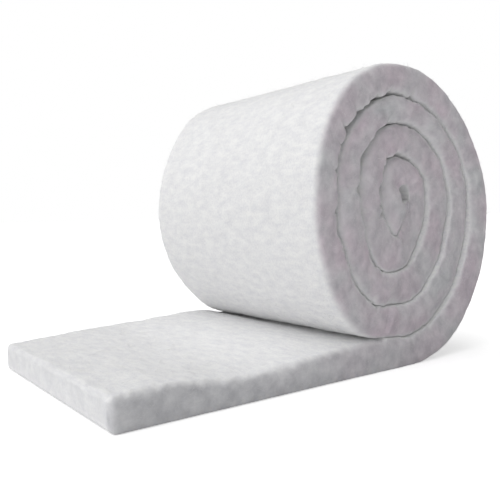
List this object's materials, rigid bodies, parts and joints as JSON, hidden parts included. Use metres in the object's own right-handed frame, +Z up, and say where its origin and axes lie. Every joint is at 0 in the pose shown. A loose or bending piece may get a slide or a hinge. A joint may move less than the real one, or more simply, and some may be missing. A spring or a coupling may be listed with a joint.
{
  "type": "insulation roll",
  "caption": "Wound blanket of white needled insulation fibre with its outer end laid out flat and cut square; the turns show at both ends of the roll.",
  "frame": {"origin": "middle of the bounding box at floor level, on the flat underside of the loose end", "axes": "+X along the unrolled length towards the roll, +Y across the blanket's width, +Z up"},
  "size_m": [1.09, 0.61, 0.703],
  "materials": {
    "fibre_blanket": "soft matt white needled fibre"
  },
  "bodies": {
    "root": {"insulation_blanket": "fibre_blanket"}
  },
  "joints": []
}
